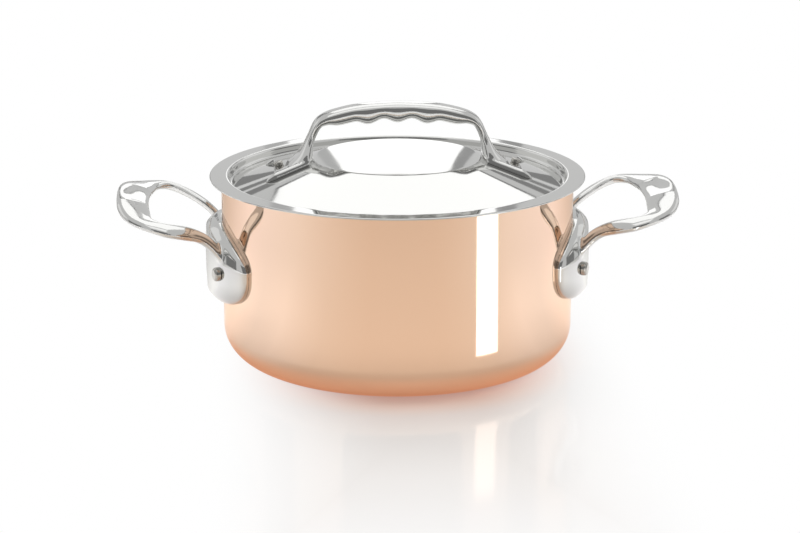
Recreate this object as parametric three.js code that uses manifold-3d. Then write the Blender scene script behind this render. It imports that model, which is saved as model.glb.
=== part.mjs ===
// A lidded two-handled copper pot: a copper body lined with steel, two cast loop handles riveted to
// its wall, and a domed lid that drops into the mouth and lifts off by a cast bridge handle.
// Millimetres, +Z up, origin at the middle of the flat base, side handles along X.
import * as THREE from 'three';
import { mergeVertices } from 'three/addons/utils/BufferGeometryUtils.js';
import Module from 'manifold-3d';

const wasm = await Module();
wasm.setup();

// Pot body
const potInnerRadius = 100;
const potHeight = 107;
const baseCornerRadius = 20;
const copperThickness = 1.6;
const liningThickness = 0.35;
const bondGap = 0.05;

// Lid
const lidSheet = 1;
const lidSeatGap = 0.2;
const plugClearance = 1.5;
const plugDepth = 5.3;
const crownRadius = 48;
const crownRise = 2;
const coneRise = 14.5;
const gutterRadius = 2.2;
const flangeBendRadius = 1.2;
const flangeOverhang = 6.65;

// Side handle: base plate, a low domed face within a rounded bevel, its length measured along the wall
const plateHalfLength = 57;
const plateUpperHeight = 21;
const plateLowerHeight = 25;
const plateMiddleHeight = 63;
const plateCrown = 9.6;
const plateEdge = 1.2;
const plateUpperSquareness = 1.85;
const plateLowerSquareness = 3;
const plateEndBevel = 19;
const plateSideBevel = 5;
const plateFaceDome = 0.5;
const plateBevelPower = 0.5;

// Side handle: loop, measured outwards from the wall, sideways from the middle and up from the base
const loopReach = 60.4;
const gripWidth = 19;
const gripThickness = 6.6;
const gripInnerThickness = 3.4;
const gripHeight = 96;
const gripDish = 2.1;
const gripDishHalfLength = 18;
const armWidth = 11.2;
const armThickness = 5;
const armDroop = THREE.MathUtils.degToRad(16);
const rootDepth = 4;
const rootHalfSpan = 36.5;
const rootHeight = 65;
const neckReach = 10.5;
const neckHalfSpan = 40;
const neckHeight = 80.6;
const shoulderReach = 32;
const shoulderHalfSpan = 52;
const shoulderHeight = 89.2;
const cornerReach = 45;
const cornerHalfSpan = 41;
const cornerHeight = 91.6;
const loopSquareness = 2.5;
const gripEnd = 0.11;
const armStart = 0.28;

// Rivets of the side handles
const rivetAngle = THREE.MathUtils.degToRad(20.9);
const rivetHeight = 59.5;
const rivetShankRadius = 2.5;
const rivetHeadRadius = 4;
const rivetHeadHeight = 3.3;
const rivetTailRadius = 5;
const rivetTailHeight = 2;
const rivetSeatDepth = 1.2;

// Lid handle: bridge, with drops measured down from the top of its bar
const bridgeRise = 30.3;
const barWidth = 16;
const barDepth = 9.2;
const barQuarterSpan = 22;
const barQuarterDrop = 1.3;
const barEndSpan = 35.5;
const barEndDrop = 4;
const bendSpan = 43.2;
const bendDrop = 7;
const bendThickness = 6.6;
const legTopSpan = 48.2;
const legTopDrop = 11.5;
const legMiddleSpan = 52.6;
const legMiddleDrop = 20.7;
const legThickness = 5;
const flareSpan = 57;
const flareHeight = 6;
const flareEndSpan = 63.5;
const flareThickness = 8.5;
const toothCount = 3;
const toothPitch = 17.5;
const toothDepth = 2.5;
const barSquareness = 2.8;

// Lid handle: forked feet that lie on the cone of the lid
const footInnerSpan = 51;
const footOuterSpan = 76;
const footInnerWidth = 28;
const footOuterWidth = 48;
const footThickness = 1.7;
const prongWidth = 4.6;
const prongHeight = 3.3;
const prongTip = 0.05;

// Rivets of the lid handle, inset from the outer ends of its feet
const lidRivetInset = 8;
const lidRivetShankRadius = 1.6;
const lidRivetHeadRadius = 2.7;
const lidRivetHeadHeight = 2.2;
const lidRivetTailRadius = 3.4;
const lidRivetTailHeight = 1.2;

// Clearances
const seatGap = 0.3;
const holeClearance = 0.3;
const headClearance = 0.15;
const cutMargin = 5;

// Fineness of the faceted surfaces
const turnSegments = 48;
const chordTolerance = 0.2;
const rivetSegments = 12;
const sectionPoints = 12;
const loopStations = 38;
const plateBevelLayers = [0, 0.06, 0.2, 0.42, 0.7, 1];
const plateFaceLayers = [0.6, 0.08];
const platePoints = 40;
const bridgeStations = 72;
const prongStations = 8;
const weldDistance = 1e-4;

const copper = { color: 0xd99a72, roughness: 0.12, metalness: 1 };
const polishedSteel = { color: 0xcfd0cd, roughness: 0.1, metalness: 1 };
const satinSteel = { color: 0xb9bab6, roughness: 0.35, metalness: 1 };
const rivetSteel = { color: 0xa8a7a2, roughness: 0.25, metalness: 1 };

// Sizes that follow from the ones above
const wallRadius = potInnerRadius + liningThickness + bondGap + copperThickness;
const plateSeat = wallRadius + seatGap + plateCrown - rivetSeatDepth;
const innerFlat = potInnerRadius * Math.cos(Math.PI / turnSegments);
const tailSeat = Math.sqrt(innerFlat ** 2 - rivetTailRadius ** 2) - holeClearance;

// Lid section: a low crown, a cone, a gutter, a plug wall and a flange, with a crease between crown and
// cone and every other bend tangent to its neighbours
const flangeMiddle = potHeight + lidSeatGap + lidSheet / 2;
const plugMiddleRadius = potInnerRadius - plugClearance - lidSheet / 2;
const gutterCentreRadius = plugMiddleRadius - gutterRadius;
const gutterBottom = flangeMiddle - plugDepth;
const creaseHeight = gutterBottom + coneRise;
const crownArc = (crownRadius ** 2 + crownRise ** 2) / (2 * crownRise);
const crownCentreHeight = creaseHeight + crownRise - crownArc;
const crownEdgeAngle = Math.asin(crownRadius / crownArc);
const creaseToGutter = new THREE.Vector2(gutterCentreRadius - crownRadius, coneRise - gutterRadius);
const coneAngle = creaseToGutter.angle() + Math.asin(gutterRadius / creaseToGutter.length());
const footSeat = seatGap + footThickness;
const lidRivetSpan = footOuterSpan - lidRivetInset;
const lidTailSeat = -lidSheet - holeClearance;

// A closed geometry as a solid that can be joined and cut, with its faces turned outwards
function toSolid(geometry) {
  const bare = geometry.clone();
  bare.deleteAttribute('normal');
  bare.deleteAttribute('uv');
  const welded = mergeVertices(bare, weldDistance);
  const place = welded.attributes.position;
  const corner = (i) => new THREE.Vector3().fromBufferAttribute(place, i);
  const faces = [];
  let volume = 0;
  for (let i = 0; i < welded.index.count; i += 3) {
    const [a, b, c] = welded.index.array.slice(i, i + 3);
    if (a === b || b === c || c === a) continue;
    faces.push([a, b, c]);
    volume += corner(a).dot(corner(b).cross(corner(c)));
  }
  const triVerts = new Uint32Array((volume > 0 ? faces : faces.map((face) => face.reverse())).flat());
  const vertProperties = new Float32Array(place.array);
  return new wasm.Manifold(new wasm.Mesh({ numProp: 3, vertProperties, triVerts }));
}

// A solid back as a geometry
function toGeometry(solid) {
  const { vertProperties, triVerts } = solid.getMesh();
  const geometry = new THREE.BufferGeometry();
  geometry.setAttribute('position', new THREE.BufferAttribute(vertProperties, 3));
  geometry.setIndex(new THREE.BufferAttribute(triVerts, 1));
  geometry.computeVertexNormals();
  return geometry;
}

// Points along a path, with as many on each arc as its radius needs
function pathPoints(path) {
  const points = [];
  for (const curve of path.curves) {
    let steps = 1;
    if (curve.isEllipseCurve) {
      const stepAngle = 2 * Math.acos(Math.max(0, 1 - chordTolerance / curve.xRadius));
      steps = Math.ceil(Math.abs(curve.aEndAngle - curve.aStartAngle) / stepAngle);
    }
    for (const point of curve.getPoints(steps)) {
      const last = points[points.length - 1];
      if (!last || last.distanceTo(point) > weldDistance) points.push(point);
    }
  }
  return points;
}

// A profile of radius and height turned about the Z axis
function revolve(profile, segments = turnSegments) {
  return new THREE.LatheGeometry(profile, segments).rotateX(Math.PI / 2);
}

// A sheet of even thickness turned about the Z axis, from the centre line of its section,
// which starts on the axis and runs outwards
function revolveSheet(centreLine, thickness) {
  const line = pathPoints(centreLine);
  const under = [];
  const over = [];
  line.forEach((point, i) => {
    const before = line[i - 1] ?? new THREE.Vector2(-line[1].x, line[1].y);
    const after = line[i + 1] ?? point.clone().multiplyScalar(2).sub(before);
    const inbound = point.clone().sub(before).normalize();
    const outbound = after.clone().sub(point).normalize();
    const along = inbound.add(outbound).normalize();
    const reach = thickness / 2 / along.dot(outbound);
    const offset = new THREE.Vector2(-along.y, along.x).multiplyScalar(reach);
    under.push(point.clone().sub(offset));
    over.push(point.clone().add(offset));
  });
  return revolve([...under, ...over.reverse()]);
}

// A skin over closed rings of points, with a fan over each end
function loft(rings) {
  const size = rings[0].length;
  const faces = [];
  for (let ring = 0; ring < rings.length - 1; ring += 1) {
    for (let i = 0; i < size; i += 1) {
      const a = ring * size + i;
      const b = ring * size + ((i + 1) % size);
      faces.push(a, b, b + size, a, b + size, a + size);
    }
  }
  const last = (rings.length - 1) * size;
  for (let i = 1; i < size - 1; i += 1) {
    faces.push(0, i + 1, i, last, last + i, last + i + 1);
  }
  const geometry = new THREE.BufferGeometry().setFromPoints(rings.flat());
  geometry.setIndex(faces);
  return geometry;
}

// A ring of points worked out from their offsets across and up on a rounded section of unit size,
// round at a squareness of 2 and squarer above it
function ring(count, squareness, place) {
  return Array.from({ length: count }, (_, i) => {
    const angle = (2 * Math.PI * i) / count;
    const power = 2 / (typeof squareness === 'number' ? squareness : squareness(Math.sin(angle)));
    const soften = (value) => Math.sign(value) * Math.abs(value) ** power;
    return place(soften(Math.cos(angle)), soften(Math.sin(angle)));
  });
}

// A round bar along X, from one distance to another
function bar(radius, from, to) {
  const upright = new THREE.CylinderGeometry(radius, radius, to - from, rivetSegments);
  return upright.rotateZ(-Math.PI / 2).translate((from + to) / 2, 0, 0);
}

// A rivet along X: a low domed tail, a shank and a squat head with a rounded edge
function rivet({ tailFace, headFace, shank, tailRadius, tailHeight, headRadius, headHeight }) {
  const edge = headHeight / 2;
  const tailArc = (tailRadius ** 2 + tailHeight ** 2) / (2 * tailHeight);
  const tailAngle = Math.asin(tailRadius / tailArc);
  const profile = new THREE.Path();
  const tailCentre = tailFace - tailHeight + tailArc;
  profile.absarc(0, tailCentre, tailArc, -Math.PI / 2, -Math.PI / 2 + tailAngle, false);
  profile.lineTo(shank, tailFace);
  profile.lineTo(shank, headFace);
  profile.lineTo(headRadius, headFace);
  profile.absarc(headRadius - edge, headFace + headHeight - edge, edge, 0, Math.PI / 2, false);
  profile.lineTo(0, headFace + headHeight);
  return new THREE.LatheGeometry(pathPoints(profile), rivetSegments).rotateZ(-Math.PI / 2);
}

// Turns a geometry made along X to a rivet of the side handle
function atHandleRivet(geometry, side) {
  return geometry.clone().rotateZ(side * rivetAngle).translate(0, 0, rivetHeight);
}

// Turns a geometry made along X, measured outwards from the lid's upper side, to a lid rivet
function atLidRivet(geometry) {
  const upright = geometry.clone().rotateY(coneAngle - Math.PI / 2);
  return upright.translate(lidRivetSpan, 0, overLid(lidRivetSpan, 0));
}

// Centre line of one sheet of the pot: flat base, round corner and straight wall
function potLine(outerRadius, base, thickness) {
  const corner = baseCornerRadius - base - thickness / 2;
  const middleRadius = outerRadius - thickness / 2;
  const middleBase = base + thickness / 2;
  const line = new THREE.Path();
  line.moveTo(0, middleBase);
  line.lineTo(middleRadius - corner, middleBase);
  line.absarc(middleRadius - corner, middleBase + corner, corner, -Math.PI / 2, 0, false);
  line.lineTo(middleRadius, potHeight);
  return line;
}

// Four rivet holes through the pot wall, a pair at each handle
function drillPot(sheet) {
  const hole = bar(rivetShankRadius + holeClearance, potInnerRadius - cutMargin, wallRadius + cutMargin);
  let drilled = sheet;
  for (const turn of [0, Math.PI]) {
    for (const side of [-1, 1]) {
      drilled = drilled.subtract(toSolid(atHandleRivet(hole, side).rotateZ(turn)));
    }
  }
  return drilled;
}

function copperShell() {
  const line = potLine(wallRadius, 0, copperThickness);
  return drillPot(toSolid(revolveSheet(line, copperThickness)));
}

function steelLining() {
  const line = potLine(potInnerRadius + liningThickness, copperThickness + bondGap, liningThickness);
  return drillPot(toSolid(revolveSheet(line, liningThickness)));
}

// Everything inside the pot's outer surface, with the gap that a seated casting keeps to it
function potEnvelope() {
  const profile = new THREE.Path();
  profile.moveTo(0, -cutMargin);
  profile.lineTo(wallRadius + seatGap, -cutMargin);
  profile.lineTo(wallRadius + seatGap, potHeight + cutMargin);
  profile.lineTo(0, potHeight + cutMargin);
  return toSolid(revolve(pathPoints(profile)));
}

// Base plate: its outline on the wall, drawn in and raised layer by layer up a bevel that is wide at the
// ends and narrow along the sides, and then over a slightly domed face
function basePlate() {
  const squareness = (up) => (up < 0 ? plateLowerSquareness : plateUpperSquareness);
  const layer = (bevel, face, radius) => ring(platePoints, squareness, (along, up) => {
    const halfLength = face * (plateHalfLength - bevel * plateEndBevel);
    const halfHeight = face * ((up < 0 ? plateLowerHeight : plateUpperHeight) - bevel * plateSideBevel);
    const angle = (along * halfLength) / wallRadius;
    const height = plateMiddleHeight + up * halfHeight;
    return new THREE.Vector3(radius * Math.cos(angle), radius * Math.sin(angle), height);
  });
  const edge = wallRadius + seatGap + plateEdge;
  const faceEdge = wallRadius + seatGap + plateCrown - plateFaceDome;
  const layers = [
    layer(0, 1, wallRadius - cutMargin),
    ...plateBevelLayers.map((up) => layer(up, 1, edge + (faceEdge - edge) * up ** plateBevelPower)),
    ...plateFaceLayers.map((out) => layer(1, out, faceEdge + plateFaceDome * (1 - out ** 2))),
  ];
  return toSolid(loft(layers));
}

// Loop: a section carried from one root to the other, its outer edge drooping along the arms, widening
// into a grip that is dished on top and thins towards its inner edge
function handleLoop() {
  const gripMiddleReach = loopReach - gripWidth / 2;
  const tilt = Math.atan2(gripHeight - neckHeight, gripMiddleReach - neckReach);
  const half = [
    [-rootDepth, rootHalfSpan, rootHeight],
    [neckReach, neckHalfSpan, neckHeight],
    [shoulderReach, shoulderHalfSpan, shoulderHeight],
    [cornerReach, cornerHalfSpan, cornerHeight],
  ];
  const mirrored = half.map(([reach, span, height]) => [reach, -span, height]).reverse();
  const stops = [...half, [gripMiddleReach, 0, gripHeight], ...mirrored];
  const path = new THREE.CatmullRomCurve3(
    stops.map(([reach, span, height]) => new THREE.Vector3(wallRadius + reach, span, height)),
  );
  const planeNormal = new THREE.Vector3(-Math.sin(tilt), 0, Math.cos(tilt));
  const rings = Array.from({ length: loopStations + 1 }, (_, station) => {
    const t = station / loopStations;
    const centre = path.getPointAt(t);
    const tangent = path.getTangentAt(t);
    const fromMiddle = Math.abs(t - 0.5);
    const toGrip = 1 - THREE.MathUtils.smoothstep(fromMiddle, gripEnd, armStart);
    const droop = armDroop * THREE.MathUtils.smoothstep(fromMiddle, 0, armStart);
    const level = planeNormal.clone().cross(tangent).normalize();
    const outward = level.applyAxisAngle(tangent, -droop);
    const upward = tangent.clone().cross(outward);
    const width = THREE.MathUtils.lerp(armWidth, gripWidth, toGrip);
    const thickness = THREE.MathUtils.lerp(armThickness, gripThickness, toGrip);
    const dish = gripDish * Math.max(0, 1 - (centre.y / gripDishHalfLength) ** 2);
    const thinning = toGrip * (gripThickness - gripInnerThickness);
    return ring(sectionPoints, loopSquareness, (across, up) => {
      const hollow = up > 0 ? dish * (1 - across ** 2) : (thinning * up * (1 - across)) / 2;
      return centre.clone()
        .addScaledVector(outward, (across * width) / 2)
        .addScaledVector(upward, (up * thickness) / 2 - hollow);
    });
  });
  return toSolid(loft(rings));
}

// One cast handle on the +X side, spot-faced for its rivets
function sideHandle() {
  let handle = basePlate().add(handleLoop()).subtract(potEnvelope());
  const reach = plateSeat + rivetHeadHeight + cutMargin;
  const hole = bar(rivetShankRadius + holeClearance, wallRadius - cutMargin, reach);
  const spotFace = bar(rivetHeadRadius + holeClearance, plateSeat, reach);
  for (const side of [-1, 1]) {
    handle = handle.subtract(toSolid(atHandleRivet(hole, side)));
    handle = handle.subtract(toSolid(atHandleRivet(spotFace, side)));
  }
  return handle;
}

function handleRivet(side) {
  const along = rivet({
    tailFace: tailSeat,
    headFace: plateSeat + headClearance,
    shank: rivetShankRadius,
    tailRadius: rivetTailRadius,
    tailHeight: rivetTailHeight,
    headRadius: rivetHeadRadius,
    headHeight: rivetHeadHeight,
  });
  return atHandleRivet(along, side);
}

// Lid sheet with its two rivet holes
function lidShell() {
  const bendHeight = flangeMiddle - flangeBendRadius;
  const gutterStart = 1.5 * Math.PI - coneAngle;
  const line = new THREE.Path();
  line.absarc(0, crownCentreHeight, crownArc, Math.PI / 2, Math.PI / 2 - crownEdgeAngle, true);
  line.absarc(gutterCentreRadius, gutterBottom + gutterRadius, gutterRadius, gutterStart, 2 * Math.PI, false);
  line.lineTo(plugMiddleRadius, bendHeight);
  line.absarc(plugMiddleRadius + flangeBendRadius, bendHeight, flangeBendRadius, Math.PI, Math.PI / 2, true);
  line.lineTo(wallRadius + flangeOverhang, flangeMiddle);
  return drillLid(toSolid(revolveSheet(line, lidSheet)));
}

// A rivet hole on each side of the lid
function drillLid(piece) {
  const hole = bar(lidRivetShankRadius + holeClearance, lidTailSeat - cutMargin, footSeat + cutMargin);
  let drilled = piece;
  for (const turn of [0, Math.PI]) {
    drilled = drilled.subtract(toSolid(atLidRivet(hole).rotateZ(turn)));
  }
  return drilled;
}

// Height of a surface a given distance over the lid's crown and cone, at a distance from the axis
function overLid(radius, distance) {
  const offset = lidSheet / 2 + distance;
  const crown = crownCentreHeight + Math.sqrt((crownArc + offset) ** 2 - radius ** 2);
  const cone = creaseHeight + offset / Math.cos(coneAngle) - (radius - crownRadius) * Math.tan(coneAngle);
  return Math.min(crown, cone);
}

// Everything below a surface a given distance over the lid's crown and cone
function lidCap(distance) {
  const profile = new THREE.Path();
  profile.moveTo(0, -cutMargin);
  profile.lineTo(gutterCentreRadius, -cutMargin);
  for (const radius of [gutterCentreRadius, crownRadius, 0]) {
    profile.lineTo(radius, overLid(radius, distance));
  }
  return toSolid(revolve(pathPoints(profile)));
}

// Depth of the finger teeth under the bar, at a distance from its middle
function tooth(span) {
  const toothed = Math.abs(span) < (toothCount * toothPitch) / 2;
  return toothed ? toothDepth * (0.5 + 0.5 * Math.cos((2 * Math.PI * span) / toothPitch)) : 0;
}

// Bridge: bar, bends and flared legs as sections hung under the outline of the handle, from stops
// given from the middle to one end as span, height, depth and width
function bridge() {
  const top = overLid(0, bridgeRise);
  const flareEnd = overLid(flareEndSpan, footThickness);
  const half = [
    [0, top, barDepth, barWidth],
    [barQuarterSpan, top - barQuarterDrop, barDepth, barWidth],
    [barEndSpan, top - barEndDrop, barDepth, barWidth],
    [bendSpan, top - bendDrop, bendThickness, barWidth],
    [legTopSpan, top - legTopDrop, legThickness, barWidth],
    [legMiddleSpan, top - legMiddleDrop, legThickness, barWidth],
    [flareSpan, overLid(flareSpan, flareHeight), flareThickness, footInnerWidth],
    [flareEndSpan, flareEnd, flareThickness, footInnerWidth],
    [2 * flareEndSpan - flareSpan, flareEnd - flareHeight, flareThickness, footInnerWidth],
  ];
  const mirrored = half.slice(1).reverse().map(([span, ...rest]) => [-span, ...rest]);
  const stops = [...mirrored, ...half];
  const outline = new THREE.SplineCurve(stops.map(([span, height]) => new THREE.Vector2(span, height)));
  const sections = new THREE.SplineCurve(stops.map(([, , depth, width]) => new THREE.Vector2(depth, width)));
  const rings = Array.from({ length: bridgeStations + 1 }, (_, station) => {
    const t = outline.getUtoTmapping(station / bridgeStations);
    const above = outline.getPoint(t);
    const along = outline.getTangent(t);
    const section = sections.getPoint(t);
    const depth = section.x + tooth(above.x);
    const middle = above.clone().add(new THREE.Vector2(along.y, -along.x).multiplyScalar(depth / 2));
    return ring(sectionPoints, barSquareness, (across, up) => new THREE.Vector3(
      middle.x - (up * along.y * depth) / 2,
      (across * section.y) / 2,
      middle.y + (up * along.x * depth) / 2,
    ));
  });
  return loft(rings);
}

// Thin web of a foot, before it is trimmed to the lid
function footWeb() {
  const shape = new THREE.Shape();
  shape.moveTo(footInnerSpan, -footInnerWidth / 2 + prongWidth / 2);
  shape.lineTo(footOuterSpan - prongWidth, -footOuterWidth / 2 + prongWidth / 2);
  shape.lineTo(footOuterSpan - prongWidth, footOuterWidth / 2 - prongWidth / 2);
  shape.lineTo(footInnerSpan, footInnerWidth / 2 - prongWidth / 2);
  const depth = overLid(0, footSeat);
  return new THREE.ExtrudeGeometry(shape, { depth, bevelEnabled: false });
}

// One prong of a foot: a rounded ridge from the leg to the foot's end
function footProng(side) {
  const inner = side * (footInnerWidth - prongWidth) / 2;
  const outer = side * (footOuterWidth - prongWidth) / 2;
  const length = footOuterSpan - footInnerSpan;
  const along = new THREE.Vector2(length, outer - inner).normalize();
  const rings = Array.from({ length: prongStations + 1 }, (_, station) => {
    const t = Math.sin((station / prongStations) * Math.PI / 2);
    const toEnd = (1 - t) * length;
    const taper = Math.min(1, Math.sqrt((toEnd + prongTip) / prongWidth));
    const x = footInnerSpan + t * length;
    const y = inner + t * (outer - inner);
    const base = overLid(Math.hypot(x, y), seatGap);
    return ring(sectionPoints, barSquareness, (across, up) => new THREE.Vector3(
      x - (along.y * across * taper * prongWidth) / 2,
      y + (along.x * across * taper * prongWidth) / 2,
      base + up * taper * prongHeight,
    ));
  });
  return loft(rings);
}

// The lid's cast handle, trimmed to lie on the lid and spot-faced for its rivets
function lidHandle() {
  const reach = footSeat + lidRivetHeadHeight + cutMargin;
  const spotFace = atLidRivet(bar(lidRivetHeadRadius + holeClearance, footSeat, reach));
  let handle = toSolid(bridge());
  for (const turn of [0, Math.PI]) {
    const web = toSolid(footWeb().rotateZ(turn)).intersect(lidCap(footSeat));
    handle = handle.add(web);
    for (const side of [-1, 1]) {
      handle = handle.add(toSolid(footProng(side).rotateZ(turn)));
    }
    handle = handle.subtract(toSolid(spotFace.clone().rotateZ(turn)));
  }
  return drillLid(handle.subtract(lidCap(seatGap)));
}

function lidRivet() {
  const along = rivet({
    tailFace: lidTailSeat,
    headFace: footSeat + headClearance,
    shank: lidRivetShankRadius,
    tailRadius: lidRivetTailRadius,
    tailHeight: lidRivetTailHeight,
    headRadius: lidRivetHeadRadius,
    headHeight: lidRivetHeadHeight,
  });
  return atLidRivet(along);
}

function piece(name, geometry, finish) {
  const mesh = new THREE.Mesh(geometry, new THREE.MeshStandardMaterial(finish));
  mesh.name = name;
  return mesh;
}

const pot = new THREE.Group();
pot.add(piece('copper_shell', toGeometry(copperShell()), copper));
pot.add(piece('steel_lining', toGeometry(steelLining()), satinSteel));

const lid = new THREE.Group();
lid.add(piece('lid_shell', toGeometry(lidShell()), polishedSteel));
lid.add(piece('lid_handle', toGeometry(lidHandle()), polishedSteel));

// The +X side as built, and the same pieces turned half round for the -X side
for (const side of ['right', 'left']) {
  const half = new THREE.Group();
  half.rotation.z = side === 'right' ? 0 : Math.PI;
  const front = side === 'right' ? -1 : 1;
  half.add(piece(`${side}_handle`, toGeometry(sideHandle()), polishedSteel));
  half.add(piece(`${side}_front_rivet`, handleRivet(front), rivetSteel));
  half.add(piece(`${side}_rear_rivet`, handleRivet(-front), rivetSteel));
  pot.add(half);

  const lidHalf = new THREE.Group();
  lidHalf.rotation.z = half.rotation.z;
  lidHalf.add(piece(`lid_${side}_rivet`, lidRivet(), rivetSteel));
  lid.add(lidHalf);
}

const part = new THREE.Group();
part.add(pot, lid);

export default part;
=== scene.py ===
# A lidded copper pot with riveted steel handles, on a white table under soft studio light.
# Metres in Blender. Sizes are written in millimetres and turned to metres when a mesh is made.
import math

import bmesh
import bpy
import numpy as np
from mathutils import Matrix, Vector


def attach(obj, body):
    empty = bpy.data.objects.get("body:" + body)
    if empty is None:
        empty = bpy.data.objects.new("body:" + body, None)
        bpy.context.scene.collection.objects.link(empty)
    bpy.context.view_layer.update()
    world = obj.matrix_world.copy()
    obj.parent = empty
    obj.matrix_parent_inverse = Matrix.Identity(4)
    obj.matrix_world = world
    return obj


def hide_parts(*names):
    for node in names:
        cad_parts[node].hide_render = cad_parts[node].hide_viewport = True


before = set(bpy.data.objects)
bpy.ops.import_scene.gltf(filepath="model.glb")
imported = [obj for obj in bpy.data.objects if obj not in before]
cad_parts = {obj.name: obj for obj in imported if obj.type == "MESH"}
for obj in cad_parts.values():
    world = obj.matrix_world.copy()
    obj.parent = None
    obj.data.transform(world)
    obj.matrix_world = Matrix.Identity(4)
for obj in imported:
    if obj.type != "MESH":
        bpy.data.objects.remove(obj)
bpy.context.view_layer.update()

mm = 0.001
print("frame loaded:", len(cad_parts), "nodes")


# Colours and nodes

def linearFromHex(hexColour):
    # sRGB to linear: the low end is a straight line, the rest a 2.4 power
    srgb = np.array([int(hexColour[i:i + 2], 16) for i in (1, 3, 5)]) / 255
    linear = np.where(srgb <= 0.04045, srgb / 12.92, ((srgb + 0.055) / 1.055) ** 2.4)
    return (*linear.tolist(), 1.0)


def addNode(tree, kind, inputs=None, **settings):
    node = tree.nodes.new(kind)
    for name, value in settings.items():
        setattr(node, name, value)
    for socket, value in (inputs or {}).items():
        if isinstance(value, bpy.types.NodeSocket):
            tree.links.new(value, node.inputs[socket])
        else:
            node.inputs[socket].default_value = value
    return node


def newMaterial(name):
    material = bpy.data.materials.new(name)
    material.use_nodes = True
    material.node_tree.nodes.clear()
    return material, material.node_tree


def perMetre(sizeMm):
    # a noise cell of this size, as a texture scale on Object coordinates in metres
    return 1 / (sizeMm * mm)


# Materials

noiseSpread = (0.3, 0.7)     # where most values of a noise texture lie


def finishedMetal(material, look, haze, relief):
    # the haze spreads the roughness between two values, and the relief bends the reflections
    tree = material.node_tree
    gloss = addNode(tree, "ShaderNodeMapRange",
                    {"Value": haze, "From Min": noiseSpread[0], "From Max": noiseSpread[1],
                     "To Min": look["roughnessLow"], "To Max": look["roughnessHigh"]})
    bump = addNode(tree, "ShaderNodeBump",
                   {"Height": relief, "Strength": 1.0, "Distance": look["reliefHeight"] * mm})
    shader = addNode(tree, "ShaderNodeBsdfPrincipled",
                     {"Base Color": linearFromHex(look["colour"]), "Metallic": 1.0,
                      "Specular Tint": linearFromHex(look["edgeColour"]),
                      "Roughness": gloss.outputs["Result"], "Normal": bump.outputs["Normal"]})
    addNode(tree, "ShaderNodeOutputMaterial", {"Surface": shader.outputs["BSDF"]})
    return material


def buffedMetal(name, look):
    # polished on a wheel: haze in patches where the cloth passed, and reflections that bend a little
    # with what the work before it left uneven
    material, tree = newMaterial(name)
    place = addNode(tree, "ShaderNodeTexCoord").outputs["Object"]
    smudge = addNode(tree, "ShaderNodeTexNoise",
                     {"Vector": place, "Scale": perMetre(look["smudgeSize"]), "Detail": 4.0})
    relief = addNode(tree, "ShaderNodeTexNoise",
                     {"Vector": place, "Scale": perMetre(look["reliefSize"]), "Detail": 1.0})
    return finishedMetal(material, look, smudge.outputs["Fac"], relief.outputs["Fac"])


# Spun copper sheet buffed to a mirror: warm reflections with a trace of haze and a slow waviness
copperLook = {
    "colour": "#F6D8C1",
    "edgeColour": "#FFF0E4",
    "roughnessLow": 0.035,
    "roughnessHigh": 0.075,
    "smudgeSize": 38,        # mm, cloudy patches left by the polishing cloth
    "reliefSize": 46,        # mm, slow undulation left by spinning
    "reliefHeight": 0.012,   # mm
}
copper = buffedMetal("polished copper", copperLook)

# Investment cast stainless steel, belt ground and buffed: bright, with softly rippled reflections
castLook = {
    "colour": "#D9D9D7",
    "edgeColour": "#FFFFFF",
    "roughnessLow": 0.05,
    "roughnessHigh": 0.11,
    "smudgeSize": 14,        # mm
    "reliefSize": 5,         # mm, the soft orange peel of a cast piece polished by hand
    "reliefHeight": 0.006,   # mm
}
castSteel = buffedMetal("polished cast stainless steel", castLook)

# Pressed stainless sheet with a mirror finish: clear reflections that bend a little with the sheet
sheetLook = {
    "colour": "#DCDCDA",
    "edgeColour": "#FFFFFF",
    "roughnessLow": 0.03,
    "roughnessHigh": 0.07,
    "smudgeSize": 30,        # mm
    "reliefSize": 34,        # mm, slow undulation of pressed sheet
    "reliefHeight": 0.01,    # mm
}
sheetSteel = buffedMetal("mirror polished stainless sheet", sheetLook)

liningLook = {
    "colour": "#DEDDD9",
    "edgeColour": "#FFFFFF",
    "roughnessLow": 0.24,
    "roughnessHigh": 0.36,
    "markSpacing": 1.1,      # mm, coarser than the real 0.1 mm turning marks, so that they show
    "markStretch": 60,       # how much longer a mark is than it is wide
    "markRadius": 100,       # mm from the axis, where that is so
    "reliefHeight": 0.012,   # mm
}


def satinSteel():
    # stainless sheet turned against an abrasive: satin, with fine rings round the wall and base
    material, tree = newMaterial("satin stainless steel")
    place = addNode(tree, "ShaderNodeTexCoord").outputs["Object"]
    axes = addNode(tree, "ShaderNodeSeparateXYZ", {"Vector": place})
    flat = addNode(tree, "ShaderNodeCombineXYZ", {"X": axes.outputs["X"], "Y": axes.outputs["Y"]})
    radius = addNode(tree, "ShaderNodeVectorMath", {0: flat.outputs["Vector"]}, operation="LENGTH")
    turn = addNode(tree, "ShaderNodeMath",
                   {0: axes.outputs["Y"], 1: axes.outputs["X"]}, operation="ARCTAN2")
    shortened = liningLook["markRadius"] * mm / liningLook["markStretch"]
    around = addNode(tree, "ShaderNodeMath",
                     {0: turn.outputs["Value"], 1: shortened}, operation="MULTIPLY")
    rings = addNode(tree, "ShaderNodeCombineXYZ",
                    {"X": radius.outputs["Value"], "Y": around.outputs["Value"], "Z": axes.outputs["Z"]})
    marks = addNode(tree, "ShaderNodeTexNoise",
                    {"Vector": rings.outputs["Vector"], "Scale": perMetre(liningLook["markSpacing"]),
                     "Detail": 3.0})
    return finishedMetal(material, liningLook, marks.outputs["Fac"], marks.outputs["Fac"])


rivetLook = {
    "colour": "#BDBBB6",
    "edgeColour": "#FFFFFF",
    "roughnessLow": 0.14,
    "roughnessHigh": 0.26,
    "pitSize": 1.6,          # mm, faint dents from the setting tool
    "reliefHeight": 0.012,   # mm
}


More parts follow.
